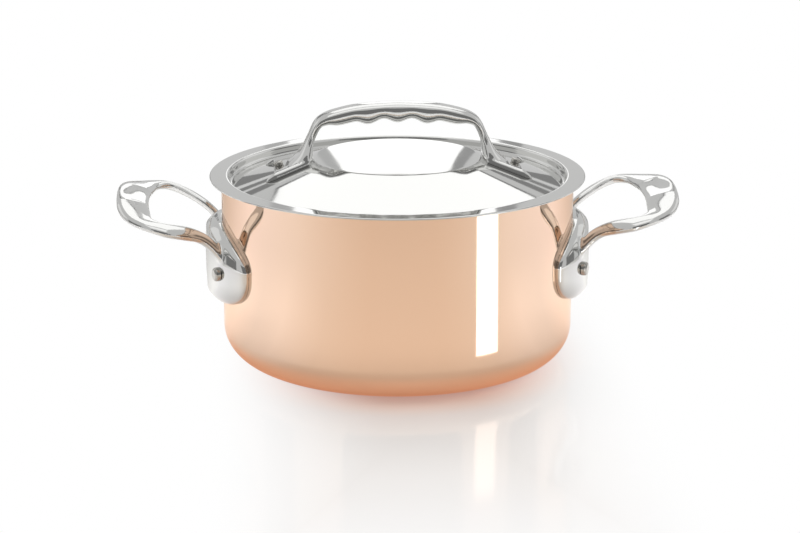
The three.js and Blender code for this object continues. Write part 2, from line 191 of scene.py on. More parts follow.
def struckSteel():
    # cold-set stainless rivets: polished, but dulled and faintly dented where they were struck
    material, tree = newMaterial("struck stainless steel")
    place = addNode(tree, "ShaderNodeTexCoord").outputs["Object"]
    pits = addNode(tree, "ShaderNodeTexNoise",
                   {"Vector": place, "Scale": perMetre(rivetLook["pitSize"]), "Detail": 2.0})
    return finishedMetal(material, rivetLook, pits.outputs["Fac"], pits.outputs["Fac"])


liningSteel = satinSteel()
rivetSteel = struckSteel()
print("materials made:", len(bpy.data.materials))


# Mesh tools

weldDistance = 1e-7          # m, points closer than this are one
sharpAngle = 38              # degrees between two faces, above which their edge stays sharp
easePull = (0.5, -0.52)      # towards the neighbours and back, which keeps the size
filletPull = (0.5,)          # towards the neighbours only, which fills a corner


def gridFaces(rows, columns):
    # quads between neighbouring rows of a grid whose last column joins its first
    row, column = np.meshgrid(np.arange(rows - 1), np.arange(columns), indexing="ij")
    following = (column + 1) % columns
    corners = [row * columns + column, row * columns + following,
               (row + 1) * columns + following, (row + 1) * columns + column]
    return np.stack(corners, axis=-1).reshape(-1, 4)


def closedMesh(name, grids):
    # one mesh from grids of points in mm (rows, columns, 3), welded at poles and facing outwards
    points = np.concatenate([grid.reshape(-1, 3) for grid in grids])
    starts = np.cumsum([0] + [grid.shape[0] * grid.shape[1] for grid in grids[:-1]])
    faces = np.concatenate([gridFaces(*grid.shape[:2]) + start for grid, start in zip(grids, starts)])
    mesh = bpy.data.meshes.new(name)
    mesh.from_pydata((points * mm).tolist(), [], faces.tolist())
    editable = bmesh.new()
    editable.from_mesh(mesh)
    bmesh.ops.remove_doubles(editable, verts=editable.verts, dist=weldDistance)
    bmesh.ops.recalc_face_normals(editable, faces=editable.faces)
    editable.to_mesh(mesh)
    editable.free()
    return mesh


def addPiece(name, mesh, material, body):
    # a finished mesh as the piece that stands for the solid of the same name
    mesh.shade_smooth()
    mesh.set_sharp_from_angle(angle=math.radians(sharpAngle))
    mesh.materials.clear()
    mesh.materials.append(material)
    piece = bpy.data.objects.new(name + "_fine", mesh)
    bpy.context.scene.collection.objects.link(piece)
    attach(piece, body)
    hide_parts(name)
    return piece


def halfTurned(mesh, name):
    # a copy turned half round about the upright axis: x and y change sign
    copy = mesh.copy()
    copy.name = name
    points = np.empty(len(copy.vertices) * 3, dtype=np.float32)
    copy.vertices.foreach_get("co", points)
    turned = points.reshape(-1, 3) * np.array([-1, -1, 1], dtype=np.float32)
    copy.vertices.foreach_set("co", turned.ravel())
    copy.update()
    return copy


def line(start, end, steps):
    # points from start to end, the end left to the next stretch
    share = np.linspace(0, 1, steps, endpoint=False)[:, None]
    return np.array(start) + share * (np.array(end) - np.array(start))


def arc(centre, radius, fromDegrees, toDegrees, steps):
    # points round a centre, the last one left to the next stretch
    angle = np.radians(np.linspace(fromDegrees, toDegrees, steps, endpoint=False))
    return np.array(centre) + radius * np.stack([np.cos(angle), np.sin(angle)], axis=-1)


def turnedGrid(profile, segments):
    # each profile point of radius and height carried round the upright axis
    angle = np.linspace(0, 2 * np.pi, segments, endpoint=False)
    radius, height = profile[:, :1], profile[:, 1:]
    return np.stack([radius * np.cos(angle), radius * np.sin(angle), height + 0 * angle], axis=-1)


def squircle(points, upper, lower):
    # offsets across and up round a section of unit size, each half round at 2 and squarer above it
    angle = np.linspace(0, 2 * np.pi, points, endpoint=False)
    power = 2 / np.where(np.sin(angle) < 0, lower, upper)
    across = np.sign(np.cos(angle)) * np.abs(np.cos(angle)) ** power
    up = np.sign(np.sin(angle)) * np.abs(np.sin(angle)) ** power
    return across, up


def splineThrough(stops, perSpan, evenness):
    # cubic through the stops, each tangent from its two neighbours, with knots spaced by
    # distance to the power evenness
    stops = np.array(stops, dtype=float)
    before = [2 * stops[0] - stops[1]]
    after = [2 * stops[-1] - stops[-2]]
    padded = np.concatenate([before, stops, after])
    knots = np.linalg.norm(np.diff(padded, axis=0), axis=1)[:, None] ** evenness
    p0, p1, p2, p3 = padded[:-3], padded[1:-2], padded[2:-1], padded[3:]
    d0, d1, d2 = knots[:-2], knots[1:-1], knots[2:]
    leave = d1 * ((p1 - p0) / d0 - (p2 - p0) / (d0 + d1) + (p2 - p1) / d1)
    arrive = d1 * ((p2 - p1) / d1 - (p3 - p1) / (d1 + d2) + (p3 - p2) / d2)
    t = np.linspace(0, 1, perSpan, endpoint=False)[:, None, None]
    spans = (p1 + t * leave + t ** 2 * (-3 * p1 + 3 * p2 - 2 * leave - arrive)
             + t ** 3 * (2 * p1 - 2 * p2 + leave + arrive))
    return np.concatenate([spans.transpose(1, 0, 2).reshape(-1, stops.shape[1]), stops[-1:]])


def evenSteps(path, count, columns):
    # the path resampled at equal lengths, measured on its first columns
    steps = np.linalg.norm(np.diff(path[:, :columns], axis=0), axis=1)
    length = np.concatenate([[0], np.cumsum(steps)])
    stations = np.linspace(0, length[-1], count)
    return np.stack([np.interp(stations, length, path[:, i]) for i in range(path.shape[1])], axis=-1)


def unit(vectors):
    return vectors / np.linalg.norm(vectors, axis=-1, keepdims=True)


def smoothStep(value, low, high):
    # 0 below low, 1 above high, and an S curve between them
    share = np.clip((value - low) / (high - low), 0, 1)
    return share * share * (3 - 2 * share)


def withPoles(grid):
    # a tube's grid closed by a pole at the middle of each end
    first = np.broadcast_to(grid[0].mean(axis=0), grid[:1].shape)
    last = np.broadcast_to(grid[-1].mean(axis=0), grid[:1].shape)
    return np.concatenate([first, grid, last])


def eased(points, edges, rounds, pull, weight=1.0):
    # each point moves a share of the way to the mean of its neighbours, and where pull has a
    # second value back by that share, which takes out ripples and keeps the size
    count = len(points)
    ends = np.concatenate([edges, edges[:, ::-1]])
    neighbours = np.bincount(ends[:, 0], minlength=count)[:, None]
    for share in pull * rounds:
        beside = points[ends[:, 1]]
        total = np.stack([np.bincount(ends[:, 0], beside[:, axis], count) for axis in range(3)], axis=-1)
        points = points + share * weight * (total / neighbours - points)
    return points


def fusedCasting(name, grids, shape, filletWeight, trim):
    # overlapping closed skins made one on a fine voxel grid, eased, softened where the weight
    # says, and pushed off what the casting sits on
    rough = closedMesh(name + "_rough", grids)
    holder = bpy.data.objects.new(name + "_rough", rough)
    bpy.context.scene.collection.objects.link(holder)
    remesh = holder.modifiers.new("voxels", "REMESH")
    remesh.mode = "VOXEL"
    remesh.voxel_size = shape["cell"] * mm
    graph = bpy.context.evaluated_depsgraph_get()
    mesh = bpy.data.meshes.new_from_object(holder.evaluated_get(graph))
    bpy.data.objects.remove(holder)
    bpy.data.meshes.remove(rough)
    mesh.name = name
    flat = np.empty(len(mesh.vertices) * 3)
    mesh.vertices.foreach_get("co", flat)
    edges = np.empty(len(mesh.edges) * 2, dtype=np.int64)
    mesh.edges.foreach_get("vertices", edges)
    points = flat.reshape(-1, 3) / mm
    edges = edges.reshape(-1, 2)
    points = eased(points, edges, shape["easing"], easePull)
    points = eased(points, edges, shape["filletRounds"], filletPull, filletWeight(points)[:, None])
    mesh.vertices.foreach_set("co", (trim(points) * mm).ravel())
    mesh.update()
    return mesh


# Pot body

potShape = {
    "innerRadius": 100,
    "height": 107,
    "cornerRadius": 20,
    "copper": 1.6,
    "lining": 0.35,
    "bondGap": 0.05,
    "rimRound": 0.45,
    "segments": 384,
    "cornerSteps": 28,
    "flatSteps": 10,
    "rimSteps": 6,
    "innerRimSteps": 4,
}
wallRadius = potShape["innerRadius"] + potShape["lining"] + potShape["bondGap"] + potShape["copper"]
liningRim = potShape["lining"] / 3


def potSheet(name, outerRadius, base, thickness, rimRound):
    # one sheet of the pot: under its base, round the corner, up the wall, over the rim and back
    # inside, with a ring close under the rim's roundings, so that the wall's long faces look flat
    flatRadius = wallRadius - potShape["cornerRadius"]
    top = potShape["height"]
    outerCorner = outerRadius - flatRadius
    innerCorner = outerCorner - thickness
    innerRadius = outerRadius - thickness
    innerRound = rimRound / 2
    outerRing = (outerRadius, top - 2 * rimRound)
    innerRing = (innerRadius, top - rimRound)
    cornerSteps, flatSteps = potShape["cornerSteps"], potShape["flatSteps"]
    profile = np.concatenate([
        line((0, base), (flatRadius, base), flatSteps),
        arc((flatRadius, base + outerCorner), outerCorner, -90, 0, cornerSteps),
        line((outerRadius, base + outerCorner), outerRing, flatSteps),
        [outerRing],
        arc((outerRadius - rimRound, top - rimRound), rimRound, 0, 90, potShape["rimSteps"]),
        arc((innerRadius + innerRound, top - innerRound), innerRound, 90, 180,
            potShape["innerRimSteps"]),
        [(innerRadius, top - innerRound)],
        line(innerRing, (innerRadius, base + outerCorner), flatSteps),
        arc((flatRadius, base + outerCorner), innerCorner, 0, -90, cornerSteps),
        line((flatRadius, base + thickness), (0, base + thickness), flatSteps),
        [(0, base + thickness)],
    ])
    return closedMesh(name, [turnedGrid(profile, potShape["segments"])])


shellMesh = potSheet("copper_shell", wallRadius, 0, potShape["copper"], potShape["rimRound"])
addPiece("copper_shell", shellMesh, copper, "pot")
liningMesh = potSheet("steel_lining", potShape["innerRadius"] + potShape["lining"],
                      potShape["copper"] + potShape["bondGap"], potShape["lining"], liningRim)
addPiece("steel_lining", liningMesh, liningSteel, "pot")
print("pot body made")


# Side handles

plateShape = {
    "halfLength": 57,        # along the wall
    "upperHeight": 21,
    "lowerHeight": 25,
    "middleHeight": 63,
    "crown": 9.6,
    "edge": 1.2,
    "upperSquareness": 1.85,
    "lowerSquareness": 3.0,
    "endBevel": 19,
    "sideBevel": 5,
    "faceDome": 0.5,
    "bevelPower": 0.5,
    "seatGap": 0.1,
    "sunk": 1,               # of the underside into the wall, before it is pushed off it
    "points": 200,
    "bevelLayers": 40,
    "faceLayers": 40,
}
loopShape = {
    "reach": 60.25,
    "gripWidth": 19,
    "gripThickness": 6.6,
    "gripInnerThickness": 3.4,
    "gripHeight": 96,
    "gripDish": 2.1,
    "gripDishHalfLength": 18,
    "armWidth": 11.2,
    "armThickness": 5,
    "armDroop": 16,          # degrees
    "root": (-4, 36.5, 65),          # outwards from the wall, sideways and up
    "neck": (10.5, 40, 80.6),
    "shoulder": (32, 52, 89.2),
    "corner": (45, 41, 91.6),
    "squareness": 2.5,
    "gripEnd": 0.11,         # shares of the loop's length, from its middle
    "armStart": 0.28,
    "perSpan": 80,
    "evenness": 0.5,
    "stations": 260,
    "points": 64,
    "cell": 0.6,             # mm, voxel of the fused casting
    "easing": 12,
    "filletMiddle": (8, 38.5, 77),   # outwards from the wall, sideways and up
    "filletReach": (6.8, 17),        # mm from there, where the arm runs out into the plate
    "filletRounds": 40,
}


def plateGrid():
    # outline on the wall, drawn in and raised up a bevel, wide at the ends and narrow along the sides,
    # by a power of the way up it, and then over the face by a low dome
    shape = plateShape
    across, up = squircle(shape["points"], shape["upperSquareness"], shape["lowerSquareness"])
    underside = np.array([0, 0.5, 1])
    upTheBevel = np.linspace(0, 1, shape["bevelLayers"]) ** 2
    overTheFace = np.linspace(1, 0, shape["faceLayers"] + 1)[1:]
    bevel = np.concatenate([0 * underside, upTheBevel, np.ones_like(overTheFace)])[:, None]
    face = np.concatenate([underside, np.ones_like(upTheBevel), overTheFace])[:, None]
    bevelRise = shape["crown"] - shape["faceDome"] - shape["edge"]
    rise = (shape["edge"] + bevelRise * bevel ** shape["bevelPower"]
            + shape["faceDome"] * np.where(bevel == 1, 1 - face ** 2, 0))
    rise[:len(underside)] = -shape["sunk"]
    radius = wallRadius + shape["seatGap"] + rise
    turn = face * across * (shape["halfLength"] - bevel * shape["endBevel"]) / wallRadius
    halfHeight = np.where(up < 0, shape["lowerHeight"], shape["upperHeight"])
    height = shape["middleHeight"] + face * up * (halfHeight - bevel * shape["sideBevel"])
    return np.stack([radius * np.cos(turn), radius * np.sin(turn), height], axis=-1)


def loopGrid():
    # a rounded section carried from root to root: narrow drooping arms, and a wide grip that is
    # dished on top and thins towards its inner edge
    shape = loopShape
    gripReach = shape["reach"] - shape["gripWidth"] / 2
    half = [shape[stop] for stop in ("root", "neck", "shoulder", "corner")]
    mirrored = [(reach, -span, height) for reach, span, height in reversed(half)]
    stops = np.array([*half, (gripReach, 0, shape["gripHeight"]), *mirrored])
    stops[:, 0] += wallRadius
    path = splineThrough(stops, shape["perSpan"], shape["evenness"])
    centre = evenSteps(path, shape["stations"], 3)
    tangent = unit(np.gradient(centre, axis=0))
    rise = shape["gripHeight"] - shape["neck"][2]
    tilt = math.atan2(rise, gripReach - shape["neck"][0])
    planeNormal = np.array([-math.sin(tilt), 0, math.cos(tilt)])
    fromMiddle = np.abs(np.linspace(-0.5, 0.5, shape["stations"]))[:, None]
    toGrip = 1 - smoothStep(fromMiddle, shape["gripEnd"], shape["armStart"])
    droop = math.radians(shape["armDroop"]) * smoothStep(fromMiddle, 0, shape["armStart"])
    level = unit(np.cross(planeNormal, tangent))
    outward = level * np.cos(droop) - np.cross(tangent, level) * np.sin(droop)
    upward = np.cross(tangent, outward)
    width = shape["armWidth"] + toGrip * (shape["gripWidth"] - shape["armWidth"])
    thickness = shape["armThickness"] + toGrip * (shape["gripThickness"] - shape["armThickness"])
    thinning = toGrip * (shape["gripThickness"] - shape["gripInnerThickness"])
    alongDish = np.clip(np.abs(centre[:, 1:2]) / shape["gripDishHalfLength"], 0, 1)
    dish = shape["gripDish"] * (1 - alongDish ** 2)
    across, up = squircle(shape["points"], shape["squareness"], shape["squareness"])
    hollow = np.where(up > 0, dish * (1 - across ** 2), thinning * up * (1 - across) / 2)
    lift = up * thickness / 2 - hollow
    grid = (centre[:, None] + outward[:, None] * (across * width / 2)[:, :, None]
            + upward[:, None] * lift[:, :, None])
    return withPoles(grid)


def rootWeight(points):
    # 1 at the two roots of the loop, fading out with distance
    outwards, sideways, height = loopShape["filletMiddle"]
    roots = np.array([(wallRadius + outwards, side * sideways, height) for side in (-1, 1)])
    distance = np.linalg.norm(points[:, None] - roots, axis=-1).min(axis=1)
    return 1 - smoothStep(distance, *loopShape["filletReach"])


def offTheWall(points):
    # nothing nearer the axis than the seat on the pot's wall
    radius = np.linalg.norm(points[:, :2], axis=1)
    push = np.maximum(1, (wallRadius + plateShape["seatGap"]) / radius)
    return points * np.stack([push, push, np.ones_like(push)], axis=-1)


rightHandle = fusedCasting("right_handle", [plateGrid(), loopGrid()], loopShape, rootWeight, offTheWall)
leftHandle = halfTurned(rightHandle, "left_handle")
addPiece("right_handle", rightHandle, castSteel, "pot")
addPiece("left_handle", leftHandle, castSteel, "pot")
print("side handles made:", len(rightHandle.polygons), "faces each")


# Lid

lidShape = {
    "sheet": 1,
    "seatGap": 0.2,
    "plugClearance": 1.5,
    "plugDepth": 5.3,
    "crownRadius": 48,
    "crownRise": 2,
    "coneRise": 14.5,        # of the crease over the bottom of the gutter
    "creaseRadius": 6,
    "gutterRadius": 2.2,
    "bendRadius": 1.2,
    "overhang": 6.65,
    "flangeFall": 0.25,      # of its edge, as pressed sheet springs back
    "segments": 384,
    "crownSteps": 40,
    "creaseSteps": 6,
    "coneSteps": 30,
    "bendSteps": 16,
    "plugSteps": 4,
    "flangeSteps": 8,
    "edgeSteps": 10,
}
flangeMiddle = potShape["height"] + lidShape["seatGap"] + lidShape["sheet"] / 2
plugRadius = potShape["innerRadius"] - lidShape["plugClearance"] - lidShape["sheet"] / 2
gutterCentre = plugRadius - lidShape["gutterRadius"]
gutterBottom = flangeMiddle - lidShape["plugDepth"]
creaseHeight = gutterBottom + lidShape["coneRise"]
crownArc = (lidShape["crownRadius"] ** 2 + lidShape["crownRise"] ** 2) / (2 * lidShape["crownRise"])
crownCentre = creaseHeight + lidShape["crownRise"] - crownArc
creaseToGutter = (gutterCentre - lidShape["crownRadius"],
                  lidShape["coneRise"] - lidShape["gutterRadius"])
coneAngle = (math.atan2(creaseToGutter[1], creaseToGutter[0])
             + math.asin(lidShape["gutterRadius"] / math.hypot(*creaseToGutter)))


def lidProfile():
    # middle of the sheet from the axis outwards: crown, crease, cone, gutter, plug wall, bend and
    # flange, then the two faces half a sheet to either side, joined round the flange's edge
    shape = lidShape
    bend, gutter, easing = shape["bendRadius"], shape["gutterRadius"], shape["creaseRadius"]
    crownEdge = math.asin(shape["crownRadius"] / crownArc)
    between = (coneAngle + crownEdge) / 2
    reach = easing / math.cos(coneAngle - between)
    crease = (shape["crownRadius"] - reach * math.sin(between), creaseHeight - reach * math.cos(between))
    crownEnd = math.asin((crease[0] + easing * math.sin(crownEdge)) / crownArc)
    coneStart = np.array(crease) + easing * np.array([math.sin(coneAngle), math.cos(coneAngle)])
    coneEnd = (gutterCentre - gutter * math.sin(coneAngle),
               gutterBottom + gutter * (1 - math.cos(coneAngle)))
    flangeEnd = (wallRadius + shape["overhang"] - shape["sheet"] / 2, flangeMiddle - shape["flangeFall"])
    middle = np.concatenate([
        arc((0, crownCentre), crownArc, 90, 90 - math.degrees(crownEnd), shape["crownSteps"]),
        arc(crease, easing, 90 - math.degrees(crownEdge), 90 - math.degrees(coneAngle),
            shape["creaseSteps"]),
        line(coneStart, coneEnd, shape["coneSteps"]),
        arc((gutterCentre, gutterBottom + gutter), gutter, 270 - math.degrees(coneAngle), 360,
            shape["bendSteps"]),
        line((plugRadius, gutterBottom + gutter), (plugRadius, flangeMiddle - bend), shape["plugSteps"]),
        arc((plugRadius + bend, flangeMiddle - bend), bend, 180, 90, shape["bendSteps"]),
        line((plugRadius + bend, flangeMiddle), flangeEnd, shape["flangeSteps"]),
        [flangeEnd],
    ])
    along = unit(np.gradient(middle, axis=0))
    along[0] = (1, 0)
    across = np.stack([-along[:, 1], along[:, 0]], axis=-1) * shape["sheet"] / 2
    under, over = middle - across, middle + across
    edge = arc(flangeEnd, shape["sheet"] / 2, -90, 90, shape["edgeSteps"])[1:]
    return np.concatenate([under, edge, over[::-1]])


lidMesh = closedMesh("lid_shell", [turnedGrid(lidProfile(), lidShape["segments"])])
addPiece("lid_shell", lidMesh, sheetSteel, "lid")
print("lid made")


# Lid handle

bridgeShape = {
    "rise": 30.3,
    "width": 16,
    "depth": 9.2,
    "quarter": (22, 1.3),            # out from the middle, and down from the top of the bar
    "end": (35.5, 4),
    "bend": (43.2, 7),
    "bendThickness": 6.6,
    "legTop": (48.2, 11.5),
    "legMiddle": (52.6, 20.7),
    "legThickness": 5,
    "flare": (57, 6),                # out from the middle, and up from the lid
    "flareEnd": 63.5,
    "flareThickness": 8.5,
    "teeth": 3,
    "toothPitch": 17.5,
    "toothDepth": 2.5,
    "squareness": 2.8,
    "perSpan": 60,
    "evenness": 0,
    "stations": 300,
    "points": 64,
    "cell": 0.5,                     # mm, voxel of the fused casting
    "easing": 12,
    "filletStart": (44, 50),         # out from the middle, where the fillet of a leg comes in
    "filletEnd": (66, 72),           # and where it runs out
    "filletTop": (5, 12),            # up from the lid
    "filletRounds": 14,
}
footShape = {
    "innerSpan": 51,
    "outerSpan": 76,
    "innerWidth": 28,
    "outerWidth": 48,
    "thickness": 1.7,
    "prongWidth": 4.6,
    "prongHeight": 3.3,
    "prongTip": 0.05,
    "seatGap": 0.1,
    "sunk": 1.0,                     # of the underside into the lid, before it is pushed off it
    "webSteps": 40,
    "prongSteps": 60,
    "prongPoints": 40,
}


def overLid(radius, distance):
    # height of a surface that lies this far over the lid: over the crown's sphere or over the cone,
    # whichever is lower
    offset = lidShape["sheet"] / 2 + distance
    crown = crownCentre + np.sqrt((crownArc + offset) ** 2 - radius ** 2)
    slope = (radius - lidShape["crownRadius"]) * math.tan(coneAngle)
    return np.minimum(crown, creaseHeight + offset / math.cos(coneAngle) - slope)


def bridgeGrid():
    # sections hung under the outline of the handle, deeper by a cosine at each finger tooth
    shape = bridgeShape
    top = overLid(0, shape["rise"])
    flareSpan, flareHeight = shape["flare"]
    flareFoot = overLid(shape["flareEnd"], footShape["thickness"])
    depths = {"quarter": shape["depth"], "end": shape["depth"], "bend": shape["bendThickness"],
              "legTop": shape["legThickness"], "legMiddle": shape["legThickness"]}
    half = [(0, top, shape["depth"], shape["width"])]
    for stop, depth in depths.items():
        half.append((shape[stop][0], top - shape[stop][1], depth, shape["width"]))
    for span, height in ((flareSpan, overLid(flareSpan, flareHeight)), (shape["flareEnd"], flareFoot),
                         (2 * shape["flareEnd"] - flareSpan, flareFoot - flareHeight)):
        half.append((span, height, shape["flareThickness"], footShape["innerWidth"]))
    stops = [(-span, *rest) for span, *rest in reversed(half[1:])] + half
    path = evenSteps(splineThrough(stops, shape["perSpan"], shape["evenness"]), shape["stations"], 2)
    span, height, depth, width = path.T[:, :, None]
    along = unit(np.gradient(path[:, :2], axis=0))
    toothed = np.abs(span) < shape["teeth"] * shape["toothPitch"] / 2
    tooth = 0.5 + 0.5 * np.cos(2 * np.pi * span / shape["toothPitch"])
    depth = depth + np.where(toothed, shape["toothDepth"] * tooth, 0)
    alongX, alongZ = along[:, :1], along[:, 1:]
    across, up = squircle(shape["points"], shape["squareness"], shape["squareness"])
    drop = depth / 2 * (1 - up)
    sideways = across * width / 2 + 0 * drop
    return withPoles(np.stack([span + alongZ * drop, sideways, height - alongX * drop], axis=-1))


def webGrid():
    # thin tongue between the prongs: a flat band across, top and underside following the lid
    shape = footShape
    steps = shape["webSteps"]
    share = np.linspace(0, 1, steps)[:, None]
    reach = np.linspace(shape["innerSpan"], shape["outerSpan"] - shape["prongWidth"], steps)[:, None]
    halfWidth = (shape["innerWidth"] + share * (shape["outerWidth"] - shape["innerWidth"])
                 - shape["prongWidth"]) / 2
    sweep = np.concatenate([np.linspace(-1, 1, steps), np.linspace(1, -1, steps)])
    thickness = np.repeat([shape["thickness"] + shape["seatGap"], -shape["sunk"]], steps)
    side = halfWidth * sweep
    height = overLid(np.hypot(reach, side), thickness)
    return withPoles(np.stack([reach + 0 * side, side, height], axis=-1))


def prongGrid(side):
    # a rounded ridge from the leg to the end of the foot, its section shrinking to the tip
    shape = footShape
    inner = side * (shape["innerWidth"] - shape["prongWidth"]) / 2
    outer = side * (shape["outerWidth"] - shape["prongWidth"]) / 2
    length = shape["outerSpan"] - shape["innerSpan"]
    along = unit(np.array([length, outer - inner]))
    share = np.sin(np.linspace(0, np.pi / 2, shape["prongSteps"]))[:, None]
    taper = np.minimum(1, np.sqrt(((1 - share) * length + shape["prongTip"]) / shape["prongWidth"]))
    across, up = squircle(shape["prongPoints"], bridgeShape["squareness"], bridgeShape["squareness"])
    x = shape["innerSpan"] + share * length
    y = inner + share * (outer - inner)
    base = overLid(np.hypot(x, y), shape["seatGap"])
    wide = across * taper * shape["prongWidth"] / 2
    high = up * taper * shape["prongHeight"]
    return withPoles(np.stack([x - along[1] * wide, y + along[0] * wide, base + high], axis=-1))


def footWeight(points):
    # 1 low on the legs, where they run out into the feet, fading out higher up and towards the tips
    shape = bridgeShape
    over = points[:, 2] - overLid(np.hypot(points[:, 0], points[:, 1]), 0)
    span = np.abs(points[:, 0])
    nearLeg = smoothStep(span, *shape["filletStart"]) * (1 - smoothStep(span, *shape["filletEnd"]))
    return nearLeg * (1 - smoothStep(over, *shape["filletTop"]))


def offTheLid(points):
    # nothing lower than the seat on the lid
    seat = overLid(np.hypot(points[:, 0], points[:, 1]), footShape["seatGap"])
    return np.stack([points[:, 0], points[:, 1], np.maximum(points[:, 2], seat)], axis=-1)


halfTurn = np.array([-1, -1, 1])
footGrids = [webGrid(), prongGrid(-1), prongGrid(1)]
lidHandleGrids = [bridgeGrid(), *footGrids, *[grid * halfTurn for grid in footGrids]]
lidHandle = fusedCasting("lid_handle", lidHandleGrids, bridgeShape, footWeight, offTheLid)
addPiece("lid_handle", lidHandle, castSteel, "lid")
print("lid handle made:", len(lidHandle.polygons), "faces")


# Rivets

handleRivet = {
    "angle": 20.9,           # degrees round the wall from the middle of the handle
    "height": 59.5,
    "shank": 2.5,
    "headRadius": 4,
    "headHeight": 3.3,
    "tailRadius": 5,
    "tailHeight": 2,
    "seatDepth": 1.2,
}
lidRivet = {
    "inset": 8,              # from the outer end of the foot
    "shank": 1.6,
    "headRadius": 2.7,
    "headHeight": 2.2,
    "tailRadius": 3.4,
    "tailHeight": 1.2,
}
rivetFit = {
    "plateGap": 0.3,         # under the solid's plate or foot
    "headClearance": 0.15,
    "tailGap": 0.3,
    "segments": 64,
    "tailSteps": 16,
    "edgeSteps": 14,
    "topSteps": 4,
}


def rivetGrid(shape, tailFace, headFace):
    # low domed tail, shank and squat head with a rounded edge, turned about the rivet's own axis
    edge = shape["headHeight"] / 2
    tailArc = (shape["tailRadius"] ** 2 + shape["tailHeight"] ** 2) / (2 * shape["tailHeight"])
    tailAngle = math.degrees(math.asin(shape["tailRadius"] / tailArc))
    tailCentre = tailFace - shape["tailHeight"] + tailArc
    top = headFace + shape["headHeight"]
    profile = np.concatenate([
        arc((0, tailCentre), tailArc, -90, -90 + tailAngle, rivetFit["tailSteps"]),
        [(shape["tailRadius"], tailFace), (shape["shank"], tailFace)],
        [(shape["shank"], headFace), (shape["headRadius"], headFace)],
        arc((shape["headRadius"] - edge, top - edge), edge, 0, 90, rivetFit["edgeSteps"]),
        line((shape["headRadius"] - edge, top), (0, top), rivetFit["topSteps"]),
        [(0, top)],
    ])
    return turnedGrid(profile, rivetFit["segments"])


def turnedTo(grid, direction, start):
    # the grid's upright axis laid along a direction other than Y, from a starting point
    axis = unit(np.array(direction))
    side = unit(np.cross((0, 1, 0), axis))
    return np.array(start) + grid @ np.stack([side, np.cross(axis, side), axis])


tailSeat = math.sqrt(potShape["innerRadius"] ** 2 - handleRivet["tailRadius"] ** 2) - rivetFit["tailGap"]
headSeat = (wallRadius + rivetFit["plateGap"] + plateShape["crown"] - handleRivet["seatDepth"]
            + rivetFit["headClearance"])
handleRivetGrid = rivetGrid(handleRivet, tailSeat, headSeat)
rivetStart = (0, 0, handleRivet["height"])
for side, turn, front in (("right", 0, -1), ("left", 180, 1)):
    for place, sign in (("front", front), ("rear", -front)):
        angle = math.radians(turn + sign * handleRivet["angle"])
        grid = turnedTo(handleRivetGrid, (math.cos(angle), math.sin(angle), 0), rivetStart)
        name = f"{side}_{place}_rivet"
        addPiece(name, closedMesh(name, [grid]), rivetSteel, "pot")

lidRivetSpan = footShape["outerSpan"] - lidRivet["inset"]
lidRivetGrid = rivetGrid(lidRivet, -lidShape["sheet"] - rivetFit["tailGap"],
                         rivetFit["plateGap"] + footShape["thickness"] + rivetFit["headClearance"])
for side, sign in (("right", 1), ("left", -1)):
    name = f"lid_{side}_rivet"
    grid = turnedTo(lidRivetGrid, (sign * math.sin(coneAngle), 0, math.cos(coneAngle)),
                    (sign * lidRivetSpan, 0, overLid(lidRivetSpan, 0)))
    addPiece(name, closedMesh(name, [grid]), rivetSteel, "lid")
print("rivets made: 6")


# Table, studio and camera

white = linearFromHex("#FFFFFF")
potMiddle = Vector((0, 0, 0.05))     # m, what the cards, the lamps and the camera face
squareCorners = ((-1, -1), (1, -1), (1, 1), (-1, 1))

tableLook = {
    "size": 6.0,                     # m
    "drop": 0.3,                     # mm under the base
    "colour": "#DBD7D4",             # to the camera; it shows where the white glow thins, so its grey is part of the painted shadow
    "roughness": 0.10,
    "specular": 0.9,
    "paintedShadeColour": "#F7CAAE",        # painted shade close to the pot, tinted with the copper's colour as if its light fell on the table
    "shadeReach": (0.086, 0.122),    # m from the middle, where that fades out
    "paintedGlowColour": "#F8D6C0",         # painted glow, what the rounded base mirrors there in place of light bounced off the copper
    "paintedGlowReach": (0.086, 0.145),
    "paintedGlowShare": 0.36,
    "leastWhite": 0.21,              # share of white in the shadow
    "shadowMiddle": (0.014, -0.08),  # m along X and Y, the middle of the painted shadow patch
    "whiteReach": ((0.02, 0.125), (0.07, 0.30)),     # m from there, where it runs out into white
}
# The table as the metal mirrors it, in rings that each begin at a reach in metres from the middle. Their
# tints are
# painted light and shade: darker in front, where they carry a painted copper tint, and behind, paler at
# the sides, and white far out in front. A ring's tints go by the Y part of the direction round the pot,
# from -1 in front to 1 behind
tableRings = (
    {"reach": tableLook["shadeReach"],
     "tints": ((-0.95, "#CFC3B7"), (-0.75, "#D2C9C0"), (-0.4, "#E6E3E1"), (-0.1, "#E6E5E5"),
               (0.25, "#F4F3F4"), (0.5, "#F0EFED"), (0.82, "#B9B8B6"))},
    {"reach": (0.22, 0.40),
     "tints": ((-0.95, "#CFC3B7"), (-0.45, "#D7D4D1"), (-0.1, "#D9D7D8"), (0.25, "#DEDCDF"),
               (0.82, "#B9B8B6"))},
    {"reach": (0.56, 0.62),
     "tints": ((-0.6, "#FFFFFF"), (0.2, "#B9B8B6"))},
)


